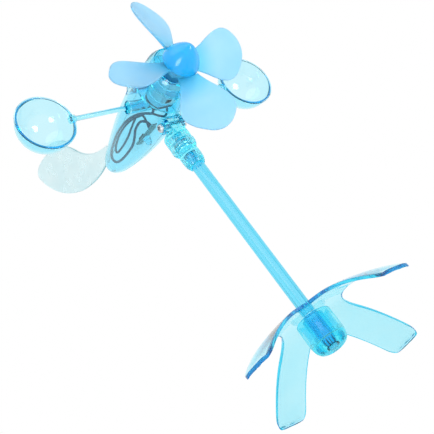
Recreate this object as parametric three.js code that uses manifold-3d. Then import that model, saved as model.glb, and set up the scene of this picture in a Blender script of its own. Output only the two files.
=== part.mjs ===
// Toy wind turbine: a four-legged stand, a mast, a swivel collar and a clear nacelle that tilts,
// with a four-bladed rotor, a generator, two wind cups on cross arms and a tail fin.
// Millimetres and degrees, +Z up, floor at z = 0, nose towards -Y.

import * as THREE from 'three';
import { mergeVertices } from 'three/addons/utils/BufferGeometryUtils.js';
import Module from 'manifold-3d';

const wasm = await Module();
wasm.setup();

// Driving dimensions
const GAP = 0.3;                 // clearance between touching pieces
const MAST_Y = -42.62;           // the mast stands ahead of the middle of the outline
const ARM_LEVEL = 221.8;          // height of the cross arms' axis on the mast's axis
const HEAD_PITCH = 8.5;          // nose down

const LEG_REACH = 83.5;           // mast axis to the end of a leg
const LEG_WIDTH = 24.6;
const LEG_SPREAD = 34.4;          // half the angle between the two front legs
const STAND_TURN = 234.5;        // compass direction of the stand's front, anticlockwise from +X
const SHEET = 2.4;               // thickness of the stand's sheet
const DOME_Z = 31;               // underside of the dome at the mast
const DOME_R = 81.9;             // the dome comes down to the floor here

const MAST_R = 4.6;
const MAST_BORE_R = 3;
const MAST_FOOT_Z = 8.6;
const MAST_TOP_Z = 169.8;
const SOCKET_R = 12.1;
const SOCKET_Z = 5.2;
const SOCKET_TOP_Z = 28.4;

const PIN_Y = -3;                // tilt screw, from the mast's axis
const PIN_Z = 195.8;
const PIN_R = 1.5;
const TONGUE_HALF = 4.1;
const TONGUE_R = 4.6;
const EAR_R = 5;
const EAR_OUT = 7.8;

const POD_WALL = 1.8;
const SPLIT = 0.15;              // half the gap between the two pod shells
const ROTOR_Z = -5;              // rotor and motor axis, under the arms' axis
const HUB_Y = -47.5;             // middle of the blades
const HUB_R = 10.6;
const BLADE_R = 54;
const BLADE_THICK = 1.6;
const SPINNER_R = 12.7;
const SPINNER_LONG = 17;
const SHAFT_R = 1;
const MOTOR_R = 10;
const MOTOR_FLAT = 7.6;
const MOTOR_FRONT = -36;
const MOTOR_BACK = -12;

const SLEEVE_R = 4.3;
const SLEEVE_HALF = 18;
const ARM_R = 1.7;
const ARM_INNER = 6;             // the rod's inner end, from the middle
const CUP_X = 83;                // cup axis, from the middle
const CUP_R = 20;
const CUP_WALL = 1.2;
const FIN_THICK = 1.6;
const BOARD_AT = [1.5, 23, -9.6];
const BOARD_SLOPE = 7.8;

const degrees = (angle) => THREE.MathUtils.degToRad(angle);

// Looks of the plastics and metals
const plastic = (color, roughness = 0.25) => new THREE.MeshStandardMaterial({ color, roughness, metalness: 0 });
const metal = (color, roughness = 0.4) => new THREE.MeshStandardMaterial({ color, roughness, metalness: 1 });
const CLEAR = plastic(0xa6e0fb);
const DEEP = plastic(0x3fb0f5);
const FROST = plastic(0xb9e4fd, 0.5);
const STEEL = metal(0x9aa4a8);
const BRASS = metal(0xb9923f);
const DARK = plastic(0x24323c, 0.6);

// A closed surface with shared vertices, no flat triangles, and its faces pointing out
function weld(geometry) {
  const bare = geometry.clone();
  bare.deleteAttribute('normal');
  bare.deleteAttribute('uv');
  const merged = mergeVertices(bare, 1e-4);
  const place = merged.attributes.position;
  const old = merged.index.array;
  const kept = [];
  const [a, b, c] = [new THREE.Vector3(), new THREE.Vector3(), new THREE.Vector3()];
  let volume = 0;
  for (let i = 0; i < old.length; i += 3) {
    const [p, q, r] = [old[i], old[i + 1], old[i + 2]];
    if (p === q || q === r || r === p) continue;
    kept.push(p, q, r);
    a.fromBufferAttribute(place, p);
    b.fromBufferAttribute(place, q);
    c.fromBufferAttribute(place, r);
    volume += a.dot(b.cross(c));
  }
  if (volume < 0) kept.reverse();
  const out = new THREE.BufferGeometry();
  out.setAttribute('position', place);
  out.setIndex(kept);
  return out;
}

function solid(geometry) {
  const closed = weld(geometry);
  return new wasm.Manifold(new wasm.Mesh({
    numProp: 3,
    vertProperties: new Float32Array(closed.attributes.position.array),
    triVerts: new Uint32Array(closed.index.array),
  }));
}

function surface(body) {
  const mesh = body.getMesh();
  const out = new THREE.BufferGeometry();
  out.setAttribute('position', new THREE.BufferAttribute(mesh.vertProperties, 3));
  out.setIndex(new THREE.BufferAttribute(mesh.triVerts, 1));
  return out;
}

// Rounds about an axis. Profiles are [radius, distance along the axis].
const TURN = {
  x: (geometry) => geometry.rotateZ(-Math.PI / 2),
  y: (geometry) => geometry,
  z: (geometry) => geometry.rotateX(Math.PI / 2),
};

function turned(profile, axis, sides = 20) {
  const points = profile.map(([radius, along]) => new THREE.Vector2(radius, along));
  points.push(points[0].clone());
  return TURN[axis](new THREE.LatheGeometry(points, sides));
}

function rod(radius, from, to, axis, sides = 20) {
  return turned([[0, from], [radius, from], [radius, to], [0, to]], axis, sides);
}

function pipe(outer, inner, from, to, axis, sides = 20) {
  return turned([[inner, from], [outer, from], [outer, to], [inner, to]], axis, sides);
}

function block(x0, x1, y0, y1, z0, z1) {
  const box = new THREE.BoxGeometry(x1 - x0, y1 - y0, z1 - z0);
  return box.translate((x0 + x1) / 2, (y0 + y1) / 2, (z0 + z1) / 2);
}

// A skin over loops of equal length, closed by a fan at each end
function loft(loops) {
  const size = loops[0].length;
  const points = loops.flat();
  const index = [];
  for (let row = 0; row + 1 < loops.length; row += 1) {
    for (let i = 0; i < size; i += 1) {
      const j = (i + 1) % size;
      const [a, b] = [row * size + i, row * size + j];
      index.push(a, b, b + size, a, b + size, a + size);
    }
  }
  const centre = (loop) => loop.reduce((sum, p) => sum.add(p), new THREE.Vector3()).divideScalar(size);
  points.push(centre(loops[0]), centre(loops[loops.length - 1]));
  const last = (loops.length - 1) * size;
  for (let i = 0; i < size; i += 1) {
    const j = (i + 1) % size;
    index.push(j, i, points.length - 2);
    index.push(last + i, last + j, points.length - 1);
  }
  const out = new THREE.BufferGeometry().setFromPoints(points);
  out.setIndex(index);
  return out;
}

// A round cord along points
function cord(points, radius, steps) {
  const ring = [];
  for (let i = 0; i < 8; i += 1) {
    const angle = i * Math.PI / 4;
    ring.push(new THREE.Vector2(radius * Math.cos(angle), radius * Math.sin(angle)));
  }
  const path = new THREE.CatmullRomCurve3(points.map((p) => new THREE.Vector3(...p)));
  return new THREE.ExtrudeGeometry(new THREE.Shape(ring), { steps, extrudePath: path, bevelEnabled: false });
}

function piece(name, geometry, material) {
  const mesh = new THREE.Mesh(weld(geometry), material);
  mesh.name = name;
  return mesh;
}

// Stand: a domed sheet cut to an X with filleted notches and round-cornered ends
function sheetHeight(radius) {
  return Math.max(0, DOME_Z * (1 - (radius / DOME_R) ** 2));
}

function standOutline() {
  const half = LEG_WIDTH / 2;
  const corner = 9;
  const legs = [-LEG_SPREAD, LEG_SPREAD, 180 - LEG_SPREAD, 180 + LEG_SPREAD];
  const shape = new THREE.Shape();
  const at = (angle, along, side) => new THREE.Vector2(along, side).rotateAround(new THREE.Vector2(), angle);
  legs.forEach((leg, i) => {
    const angle = degrees(leg);
    const next = degrees(i < 3 ? legs[i + 1] : legs[0] + 360);
    const halfTurn = (next - angle) / 2;
    const meet = half / Math.tan(halfTurn);
    const fillet = halfTurn < Math.PI / 4 ? 13 : 27;
    const start = at(angle, LEG_REACH - corner, -half);
    if (i === 0) shape.moveTo(start.x, start.y);
    else shape.lineTo(start.x, start.y);
    const round = (control, end) => shape.quadraticCurveTo(control.x, control.y, end.x, end.y);
    round(at(angle, LEG_REACH, -half), at(angle, LEG_REACH, -half + corner));
    shape.lineTo(...at(angle, LEG_REACH, half - corner).toArray());
    round(at(angle, LEG_REACH, half), at(angle, LEG_REACH - corner, half));
    shape.lineTo(...at(angle, meet + fillet, half).toArray());
    round(at(angle, meet, half), at(next, meet + fillet, -half));
  });
  return shape;
}

function standSheet() {
  const radii = [0, 8, 16, 24, 32, 40, 48, 56, 64, 72, 77, DOME_R, 90];
  const under = radii.map((r) => [r, sheetHeight(r)]);
  const over = radii.map((r) => [r, sheetHeight(r) + SHEET]).reverse();
  const dome = solid(turned([...under, ...over], 'z', 36));
  const cutter = new THREE.ExtrudeGeometry(standOutline(), { depth: 60, bevelEnabled: false, curveSegments: 4 });
  const hole = solid(rod(MAST_R + GAP, 0, 60, 'z'));
  const cut = dome.intersect(solid(cutter.translate(0, 0, -10))).subtract(hole);
  return surface(cut).rotateZ(degrees(STAND_TURN));
}

// A cup with a tube inside it for the mast's foot
function standSocket() {
  const bore = MAST_R + GAP;
  const top = SOCKET_TOP_Z;
  const outside = [
    [0, SOCKET_Z], [7, SOCKET_Z], [9.6, 6.3], [11.3, 9], [SOCKET_R, 13.5], [SOCKET_R, top],
  ];
  const inside = [
    [10.3, top], [10.3, 15], [8.8, 12], [7, 11.4], [7, top], [bore, top], [bore, MAST_FOOT_Z - GAP],
    [0, MAST_FOOT_Z - GAP],
  ];
  return turned([...outside, ...inside], 'z', 24);
}

// Swivel collar: the lower part is fixed on the mast, the upper part turns on its spigot.
// Both are drawn with the mast's top at z = 0.
function swivelBase() {
  const bore = MAST_R + GAP;
  return turned([
    [bore, -9.5], [5.7, -9], [7, -6], [7.3, -2], [7.2, 2.5], [6.4, 5], [4.6, 5], [4.6, 12.5], [0, 12.5],
    [0, GAP], [bore, GAP],
  ], 'z', 20).translate(0, 0, MAST_TOP_Z);
}

function swivelCap() {
  const shell = solid(turned([
    [5, 5.3], [8, 5.3], [9.1, 7], [9.2, 10.5], [8.7, 12.5], [9, 14.5], [8.8, 19.2], [7.8, 20.5], [0, 20.5],
    [0, 16.9], [5, 16.9], [5, 11.6], [6.6, 11.6], [6.6, 8], [5, 8],
  ], 'z', 20));
  const pin = PIN_Z - MAST_TOP_Z;
  const stem = solid(block(-TONGUE_HALF, TONGUE_HALF, PIN_Y - TONGUE_R, PIN_Y + TONGUE_R, 19, pin));
  const eye = solid(rod(TONGUE_R, -TONGUE_HALF, TONGUE_HALF, 'x').translate(0, PIN_Y, pin));
  const bore = solid(rod(PIN_R + GAP, -9, 9, 'x', 12).translate(0, PIN_Y, pin));
  return surface(shell.add(stem).add(eye).subtract(bore)).translate(0, 0, MAST_TOP_Z);
}

// Pod: one teardrop skin. Each station is [y, half width, half height, middle z].
const POD = [
  [-42, 13.8, 15.6, -2.5], [-39, 15.8, 17.6, -2.6], [-30, 17.8, 19.4, -2.8], [-15, 19.2, 20.4, -2.9],
  [0, 19.6, 20.2, -2.6], [15, 18.8, 19.2, -2.2], [30, 16.6, 17.8, -1.6], [45, 13.6, 15.7, -0.7],
  [60, 10.3, 12.8, 0.5], [70, 7.9, 10.3, 1.5], [76, 6.1, 7.9, 2.2], [80, 4.1, 5.4, 2.7], [82.4, 1.8, 2.6, 3],
];

function podAt(y) {
  const next = Math.max(1, POD.findIndex((station) => station[0] >= y));
  const [low, high] = [POD[next - 1], POD[next]];
  const t = (y - low[0]) / (high[0] - low[0]);
  return low.map((value, i) => value + t * (high[i] - value));
}

function podSkin(ys, inset) {
  const sides = 20;
  return loft(ys.map((y) => {
    const [, wide, tall, middle] = podAt(y);
    const loop = [];
    for (let i = 0; i < sides; i += 1) {
      const angle = (i + 0.5) * 2 * Math.PI / sides;
      loop.push(new THREE.Vector3((wide - inset) * Math.cos(angle), y, middle + (tall - inset) * Math.sin(angle)));
    }
    return loop;
  }));
}

// The tilt screw's axis, in the pitched head
const pitch = degrees(HEAD_PITCH);
const hinge = new THREE.Vector3(0, PIN_Y, PIN_Z - ARM_LEVEL).applyAxisAngle(new THREE.Vector3(1, 0, 0), -pitch);
const CASE_SCREW = { y: -3, z: 11.5, head: 2.2, shank: 1.2 };

function podShells() {
  const outer = solid(podSkin(POD.map((station) => station[0]), 0));
  const hollow = solid(podSkin([-42 + POD_WALL, -30, -15, 0, 15, 30, 45, 60, 70, 76, 79], POD_WALL));
  const across = (radius, y, z, reach, sides = 16) => solid(rod(radius, -reach, reach, 'x', sides).translate(0, y, z));
  const core = solid(podSkin(POD.map((station) => station[0]), POD_WALL / 2));
  let shell = outer.subtract(hollow);
  for (const y of [-31, -18]) shell = shell.add(core.intersect(solid(block(-30, 30, y - 0.7, y + 0.7, -30, 30))));
  shell = shell.add(across(3, CASE_SCREW.y, CASE_SCREW.z, 12.6, 12));
  const earRoot = solid(block(-EAR_OUT, EAR_OUT, hinge.y - EAR_R, hinge.y + EAR_R, hinge.z, hinge.z + 5.5));
  shell = shell.add(across(EAR_R, hinge.y, hinge.z, EAR_OUT).add(earRoot));
  const motor = solid(rod(MOTOR_R + 0.4, MOTOR_FRONT - GAP, MOTOR_BACK + 5, 'y', 16).translate(0, 0, ROTOR_Z));
  const nose = solid(rod(3.5, -50, -30, 'y', 12).translate(0, 0, ROTOR_Z));
  const finSlot = solid(block(-FIN_THICK / 2 - GAP, FIN_THICK / 2 + GAP, 63, 90, 7.2, 30));
  for (const tool of [
    motor, nose, finSlot,
    across(SLEEVE_R + 0.35, 0, 0, 30),
    across(PIN_R + GAP, hinge.y, hinge.z, 20, 12),
    across(6.3, hinge.y, hinge.z, TONGUE_HALF + GAP),
    across(CASE_SCREW.shank + GAP, CASE_SCREW.y, CASE_SCREW.z, 7.9, 12),
    solid(rod(CASE_SCREW.head + GAP, -30, -7.8, 'x', 12).translate(0, CASE_SCREW.y, CASE_SCREW.z)),
  ]) shell = shell.subtract(tool);
  const left = shell.intersect(solid(block(-40, -SPLIT, -60, 100, -50, 50)));
  const right = shell.intersect(solid(block(SPLIT, 40, -60, 100, -50, 50)));
  return [surface(left), surface(right)];
}

function tiltScrew() {
  return turned([[0, -10.5], [2.4, -10.5], [3.2, -9.6], [3.2, -8.1], [PIN_R, -8.1], [PIN_R, 10.9], [0, 10.9]], 'x', 12)
    .translate(0, hinge.y, hinge.z);
}

function tiltNut() {
  const hex = solid(rod(3.3, 8.1, 10.3, 'x', 6).translate(0, hinge.y, hinge.z));
  return surface(hex.subtract(solid(rod(PIN_R + GAP, 5, 15, 'x', 12).translate(0, hinge.y, hinge.z))));
}

function caseScrew() {
  const { y, z, head, shank } = CASE_SCREW;
  return turned([[0, -10.2], [head, -10.2], [head, -8.1], [shank, -8.1], [shank, 7.4], [0, 7.4]], 'x', 12)
    .translate(0, y, z);
}

// Generator: a can with two flats, two magnets, an armature on the rotor's shaft and an end cap
function flattened(radius, flat, from, to) {
  return solid(rod(radius, from, to, 'y', 16)).intersect(solid(block(-20, 20, -60, 0, -flat, flat)));
}

function motorCan() {
  const boss = solid(rod(3.1, MOTOR_FRONT - 1.6, MOTOR_FRONT + 0.5, 'y', 12));
  const body = flattened(MOTOR_R, MOTOR_FLAT, MOTOR_FRONT, MOTOR_BACK).add(boss);
  const hollow = flattened(MOTOR_R - 1, MOTOR_FLAT - 1, MOTOR_FRONT + 1.2, MOTOR_BACK + 1);
  const bore = solid(rod(SHAFT_R + GAP, -50, -20, 'y', 12));
  return surface(body.subtract(hollow).subtract(bore)).translate(0, 0, ROTOR_Z);
}

function magnet(side) {
  const ring = solid(pipe(8.6, 6.6, MOTOR_FRONT + 3, MOTOR_BACK - 5, 'y', 16));
  const window = side < 0 ? block(-10, -3, -40, -10, -6.2, 6.2) : block(3, 10, -40, -10, -6.2, 6.2);
  return surface(ring.intersect(solid(window))).translate(0, 0, ROTOR_Z);
}

function armature() {
  const bore = SHAFT_R + GAP;
  return turned([
    [bore, -32], [5.8, -32], [5.8, -19], [3, -18.4], [3, -13.4], [bore, -13.4],
  ], 'y', 12).translate(0, 0, ROTOR_Z);
}

function motorEndCap() {
  const cap = flattened(MOTOR_R - 0.2, MOTOR_FLAT - 0.2, MOTOR_BACK + GAP, MOTOR_BACK + 3.6);
  return surface(cap.subtract(solid(rod(SHAFT_R + GAP, -20, MOTOR_BACK + 2.6, 'y', 12)))).translate(0, 0, ROTOR_Z);
}

function terminal(side) {
  return block(side * 5 - 1, side * 5 + 1, MOTOR_BACK + 3.9, MOTOR_BACK + 6.8, ROTOR_Z - 0.3, ROTOR_Z + 0.3);
}

// Leads from the generator to the lamp board, held inside the pod
const LEADS = {
  lead_outer: [
    [-5, -6.6, -6.5], [-5, -6, -9], [-4.6, -1.5, -8.8], [-4.2, 4.9, -4], [-4, 12.4, 1.1], [-4, 22.4, 5.9],
    [-4, 34.2, 9.2], [-4, 46.2, 10.3], [-3.9, 56, 8.9], [-3.7, 63.2, 6.6], [-3.5, 66.6, 3.8], [-3.5, 66.8, 0.6],
    [-3.6, 64.2, -2.6], [-3.8, 58.6, -5], [-4, 51.5, -6.6], [-4, 42.8, -7.6], [-4, 35.6, -7.6], [-4, 29.8, -5.6],
    [-3.8, 24.4, -2.9], [-2.5, 17.4, -2.2], [-0.6, 13.6, -5.5], [0.6, 12.6, -9.8],
  ],
  lead_inner: [
    [5, -6.6, -6.5], [5, -5.8, -11], [3.6, -2.4, -13.6], [1.8, 1, -10.4], [0.6, 4.6, -5.6], [-0.4, 9.9, -1],
    [-1.5, 15.8, 1.6], [-1.5, 25.8, 6.2], [-1.5, 37.6, 9.2], [-1.4, 49, 9.8], [-1.2, 57, 8.4], [-0.6, 62.6, 6.2],
    [0.4, 63.6, 4.6], [0.8, 59.6, 4], [0.8, 51.7, 3.4], [0.8, 42.5, 3.6], [0.8, 34.9, 4.8], [0.9, 28.8, 5.6],
    [1, 23.5, 6], [1.2, 18.6, 4.6], [1.4, 16, 1], [1.5, 16.2, -4], [1.6, 17.6, -9.1],
  ],
};

function lampBoard() {
  return new THREE.BoxGeometry(5, 28, 1.2).rotateX(degrees(BOARD_SLOPE)).translate(...BOARD_AT);
}

function lamp() {
  return turned([
    [0, -16.6], [1.3, -16.3], [2.2, -15.4], [2.5, -14.2], [2.5, -11.8], [2.9, -11.8], [2.9, -10.7], [0, -10.7],
  ], 'z', 12).translate(1.5, 25.5, 0);
}

// Rotor: a hub with four wide blades, each [radius, leading edge, trailing edge] along its chord
const BLADE = [
  [9, -6, 6], [14, -7.8, 7.2], [20, -10.6, 10], [27, -14.6, 14], [34, -17.7, 16.8], [40, -18.8, 16.2],
  [45, -17.4, 13], [49, -14.2, 8.4], [52, -10.4, 3.2], [BLADE_R, -6.6, -1.6],
];

function blade(turn) {
  const loops = BLADE.map(([radius, lead, trail]) => {
    const twist = degrees(33 - 10 * radius / BLADE_R);
    const loop = [];
    const width = trail - lead;
    for (const [share, side] of [[0, 0], [0.25, 1], [0.6, 1], [1, 0], [0.6, -1], [0.25, -1]]) {
      const chord = lead + share * width;
      const camber = -1.4 * Math.sin(Math.PI * share) * radius / BLADE_R;
      const lift = camber + side * BLADE_THICK / 2;
      const across = chord * Math.cos(twist) + lift * Math.sin(twist);
      const along = chord * Math.sin(twist) - lift * Math.cos(twist);
      loop.push(new THREE.Vector3(across, along, radius));
    }
    return loop;
  });
  return solid(loft(loops).rotateY(turn));
}

function rotor() {
  let body = solid(turned([
    [0, HUB_Y + 4], [6, HUB_Y + 4], [HUB_R, HUB_Y + 2.8], [HUB_R, HUB_Y - 2], [0, HUB_Y - 2],
  ], 'y', 20));
  for (let i = 0; i < 4; i += 1) body = body.add(blade(i * Math.PI / 2).translate([0, HUB_Y, 0]));
  body = body.subtract(solid(rod(13.2, HUB_Y - 20, HUB_Y - 2, 'y', 24)));
  return surface(body.subtract(solid(rod(SHAFT_R + GAP, -70, -20, 'y', 12)))).translate(0, 0, ROTOR_Z);
}

// A pointed cap, open behind
function spinner() {
  const base = HUB_Y - 2 - GAP;
  const skin = [];
  const inside = [];
  for (const share of [0, 0.15, 0.3, 0.45, 0.6, 0.75, 0.87, 0.95, 1]) {
    const full = (1 - share ** 1.5) ** 0.75;
    skin.push([SPINNER_R * full, base - SPINNER_LONG * share]);
    inside.unshift([(SPINNER_R - 1.6) * full, base - (SPINNER_LONG - 1.8) * share]);
  }
  return turned([...skin, ...inside], 'y', 24).translate(0, 0, ROTOR_Z);
}

// Wind cups on their arms. Side -1 is the left one.
function cup(side) {
  const rim = -2;
  const outer = [];
  const inner = [];
  const steps = 7;
  for (let i = 0; i <= steps; i += 1) {
    const angle = i * Math.PI / 2 / steps;
    outer.push([CUP_R * Math.cos(angle), rim + CUP_R * Math.sin(angle)]);
    inner.unshift([(CUP_R - CUP_WALL) * Math.cos(angle), rim + (CUP_R - CUP_WALL) * Math.sin(angle)]);
  }
  const lip = [[CUP_R - CUP_WALL, rim - 1], [CUP_R + 0.7, rim - 1], [CUP_R + 0.7, rim + 0.4]];
  const bowl = solid(turned([...outer, ...inner, ...lip], 'y', 24));
  const knob = solid(rod(2.9, CUP_R - 0.8, CUP_R + 2.6, 'x', 12));
  const bore = solid(rod(ARM_R + GAP, CUP_R + 0.7, CUP_R + 5, 'x', 12));
  const whole = surface(bowl.add(knob).subtract(bore));
  if (side > 0) whole.rotateZ(Math.PI).scale(1, -1, 1);
  return whole.translate(side * CUP_X, 0, 0);
}

function arm(side) {
  const [from, to] = [ARM_INNER, CUP_X - CUP_R - 1];
  return rod(ARM_R, side < 0 ? -to : from, side < 0 ? -from : to, 'x', 12);
}

// Tail fin: a leaf in the middle plane, drawn in (y, z), with its root between the pod shells
function tailFin() {
  const leaf = new THREE.Shape();
  leaf.moveTo(64.5, 8);
  leaf.lineTo(72, 16.5);
  leaf.quadraticCurveTo(100, 24, 112, 42);
  leaf.quadraticCurveTo(127, 63, 152, 67);
  leaf.quadraticCurveTo(181, 73, 180, 62);
  leaf.quadraticCurveTo(168, 33, 132, 16.5);
  leaf.quadraticCurveTo(108, 7, 88, 7.6);
  leaf.lineTo(79, 8);
  const sheet = new THREE.ExtrudeGeometry(leaf, { depth: FIN_THICK, bevelEnabled: false, curveSegments: 6 });
  // the drawing's first axis becomes y and its second z
  const turn = new THREE.Matrix4().makeBasis(
    new THREE.Vector3(0, 1, 0), new THREE.Vector3(0, 0, 1), new THREE.Vector3(1, 0, 0),
  );
  return sheet.applyMatrix4(turn).translate(-FIN_THICK / 2, 0, 0);
}

function standGroup() {
  const group = new THREE.Group();
  group.add(
    piece('stand_sheet', standSheet(), CLEAR),
    piece('stand_socket', standSocket(), DEEP),
    piece('mast', pipe(MAST_R, MAST_BORE_R, MAST_FOOT_Z, MAST_TOP_Z, 'z', 16), CLEAR),
    piece('swivel_base', swivelBase(), CLEAR),
    piece('retaining_ring', pipe(6.2, 4.9, MAST_TOP_Z + 9, MAST_TOP_Z + 10.4, 'z', 12), STEEL),
    piece('bearing_ball', new THREE.SphereGeometry(1.9, 10, 8).translate(0, 0, MAST_TOP_Z + 14.7), STEEL),
    piece('swivel_cap', swivelCap(), CLEAR),
  );
  group.position.y = MAST_Y;
  return group;
}

function headGroup() {
  const group = new THREE.Group();
  const [podLeft, podRight] = podShells();
  group.add(
    piece('pod_left', podLeft, CLEAR),
    piece('pod_right', podRight, CLEAR),
    piece('tilt_screw', tiltScrew(), STEEL),
    piece('tilt_nut', tiltNut(), STEEL),
    piece('case_screw', caseScrew(), STEEL),
    piece('motor_can', motorCan(), STEEL),
    piece('magnet_left', magnet(-1), DARK),
    piece('magnet_right', magnet(1), DARK),
    piece('motor_end_cap', motorEndCap(), DARK),
    piece('terminal_left', terminal(-1), BRASS),
    piece('terminal_right', terminal(1), BRASS),
    piece('armature', armature(), BRASS),
    piece('rotor_shaft', rod(SHAFT_R, HUB_Y - 1.5, MOTOR_BACK + 2.3, 'y', 12).translate(0, 0, ROTOR_Z), STEEL),
    piece('rotor', rotor(), FROST),
    piece('spinner', spinner(), DEEP),
    piece('lead_outer', cord(LEADS.lead_outer, 0.9, 64), DARK),
    piece('lead_inner', cord(LEADS.lead_inner, 0.8, 64), DARK),
    piece('lamp_board', lampBoard(), plastic(0x4b8f86)),
    piece('lamp', lamp(), CLEAR),
    piece('arm_sleeve', pipe(SLEEVE_R, ARM_R + GAP, -SLEEVE_HALF, SLEEVE_HALF, 'x', 16), DEEP),
    piece('tail_fin', tailFin(), FROST),
  );
  for (const [side, name] of [[-1, 'left'], [1, 'right']]) {
    group.add(piece(`arm_${name}`, arm(side), CLEAR), piece(`cup_${name}`, cup(side), CLEAR));
  }
  group.position.set(0, MAST_Y, ARM_LEVEL);
  group.rotation.x = pitch;
  return group;
}

const model = new THREE.Group();
model.add(standGroup(), headGroup());

export default model;
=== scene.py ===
"""Toy wind turbine in clear blue plastic: its looks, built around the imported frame."""

import math

import bmesh
import bpy
import numpy as np
from mathutils import Matrix, Vector
from mathutils.geometry import delaunay_2d_cdt


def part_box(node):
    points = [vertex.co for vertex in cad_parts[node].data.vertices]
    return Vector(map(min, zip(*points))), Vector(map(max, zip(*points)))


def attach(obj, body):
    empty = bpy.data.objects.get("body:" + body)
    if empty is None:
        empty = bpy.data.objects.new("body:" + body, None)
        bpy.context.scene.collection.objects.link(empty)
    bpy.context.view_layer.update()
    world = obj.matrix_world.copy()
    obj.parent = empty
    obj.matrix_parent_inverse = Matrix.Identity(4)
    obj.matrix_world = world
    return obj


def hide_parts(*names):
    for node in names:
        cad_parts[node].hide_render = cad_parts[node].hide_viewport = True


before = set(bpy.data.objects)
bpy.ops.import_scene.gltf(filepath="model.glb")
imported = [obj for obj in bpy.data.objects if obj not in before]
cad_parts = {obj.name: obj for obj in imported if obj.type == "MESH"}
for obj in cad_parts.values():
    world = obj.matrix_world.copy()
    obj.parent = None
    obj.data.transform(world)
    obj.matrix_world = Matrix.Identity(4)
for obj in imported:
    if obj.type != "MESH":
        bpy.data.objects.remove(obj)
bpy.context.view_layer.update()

# Sizes in millimetres, the same as the CAD's
HEAD_PITCH = 8.5
LEG_REACH = 83.5
LEG_WIDTH = 24.6
LEG_SPREAD = 34.4
STAND_TURN = 234.5
SHEET = 2.4
DOME_Z = 31
DOME_R = 81.9
SOCKET_TOP_Z = 28.4
MAST_R = 4.6
MAST_BORE_R = 3
TONGUE_HALF = 4.1
TONGUE_R = 4.6
PIN_Y = -3
PIN_R = 1.5
EAR_R = 5
EAR_OUT = 7.8
POD_WALL = 1.8
SPLIT = 0.15
GAP = 0.3
ROTOR_Z = -5
HUB_Y = -47.5
HUB_R = 10.6
BLADE_R = 54
SPINNER_R = 12.7
SPINNER_LONG = 17
MOTOR_R = 10
MOTOR_FLAT = 7.6
MOTOR_FRONT = -36
MOTOR_BACK = -12
SLEEVE_R = 4.3
SLEEVE_HALF = 18
ARM_R = 1.7
ARM_INNER = 6
CUP_X = 83
CUP_R = 20
CUP_WALL = 1.2
FIN_THICK = 1.6
BOARD_AT = (1.5, 23, -9.6)
BOARD_SLOPE = 7.8

# The table top's radius, in metres
FLOOR_R = 0.32

# Enough to get through every layer of clear plastic
LIGHT_BOUNCES = 32


def middle(node):
    """The middle of a CAD node's box, in metres."""
    low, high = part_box(node)
    return (low + high) / 2


ARM_POINT = middle("arm_sleeve")
MAST_AXIS = middle("mast")
MAST_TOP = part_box("mast")[1].z * 1000
MAST_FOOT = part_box("mast")[0].z * 1000
MILLIMETRES = Matrix.Scale(0.001, 4)
STAND = Matrix.Translation((MAST_AXIS.x, MAST_AXIS.y, 0)) @ MILLIMETRES
HEAD = Matrix.Translation(ARM_POINT) @ Matrix.Rotation(math.radians(HEAD_PITCH), 4, "X") @ MILLIMETRES
PIN_HIGH = middle("tilt_screw").z * 1000
HINGE = HEAD.inverted() @ Vector((0, MAST_AXIS.y + PIN_Y / 1000, PIN_HIGH / 1000))


# ---------------------------------------------------------------- camera, light and floor

def camera():
    """The viewpoint: below, in front and to the left, with the mast leaning across the frame."""
    right = Vector((0.78390, -0.31450, -0.53534))
    up = Vector((0.23144, -0.65207, 0.72197))
    back = right.cross(up)
    data = bpy.data.cameras.new("camera")
    data.sensor_width = 36
    data.lens = 91.24
    data.clip_start = 0.01
    eye = bpy.data.objects.new("camera", data)
    turn = Matrix((right, up, back)).transposed().to_4x4()
    eye.matrix_world = Matrix.Translation(ARM_POINT + Vector((-0.41585, -0.48225, -0.41036))) @ turn
    bpy.context.collection.objects.link(eye)
    bpy.context.scene.camera = eye


def disc_light(name, place, aim, size, watts):
    """A round soft light."""
    data = bpy.data.lights.new(name, "AREA")
    data.shape = "DISK"
    data.size = size
    data.energy = watts
    lamp = bpy.data.objects.new(name, data)
    lamp.location = place
    lamp.rotation_euler = (Vector(aim) - Vector(place)).to_track_quat("-Z", "Y").to_euler()
    bpy.context.collection.objects.link(lamp)


def white_world():
    world = bpy.data.worlds.new("studio")
    world.use_nodes = True
    world.node_tree.nodes["Background"].inputs["Color"].default_value = (1, 1, 1, 1)
    world.node_tree.nodes["Background"].inputs["Strength"].default_value = 1.0
    bpy.context.scene.world = world


def floor():
    """A pale round table top, seen from above only and small enough for the low lights to pass."""
    mesh = bpy.data.meshes.new("floor")
    around = np.linspace(0, 2 * math.pi, 128, endpoint=False)
    rim = [(FLOOR_R * math.cos(a), FLOOR_R * math.sin(a), 0) for a in around]
    mesh.from_pydata(rim, [], [list(range(len(rim)))])
    base = bpy.data.objects.new("floor", mesh)
    base.location.z = -0.0002
    bpy.context.collection.objects.link(base)
    look = bpy.data.materials.new("floor")
    look.use_nodes = True
    nodes, links = look.node_tree.nodes, look.node_tree.links
    paint = nodes["Principled BSDF"]
    paint.inputs["Base Color"].default_value = (0.93, 0.94, 0.95, 1)
    paint.inputs["Roughness"].default_value = 0.7
    side = nodes.new("ShaderNodeNewGeometry")
    clear = nodes.new("ShaderNodeBsdfTransparent")
    mix = nodes.new("ShaderNodeMixShader")
    links.new(side.outputs["Backfacing"], mix.inputs["Fac"])
    links.new(paint.outputs["BSDF"], mix.inputs[1])
    links.new(clear.outputs["BSDF"], mix.inputs[2])
    links.new(mix.outputs["Shader"], nodes["Material Output"].inputs["Surface"])
    mesh.materials.append(look)


# ---------------------------------------------------------------- materials

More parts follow.
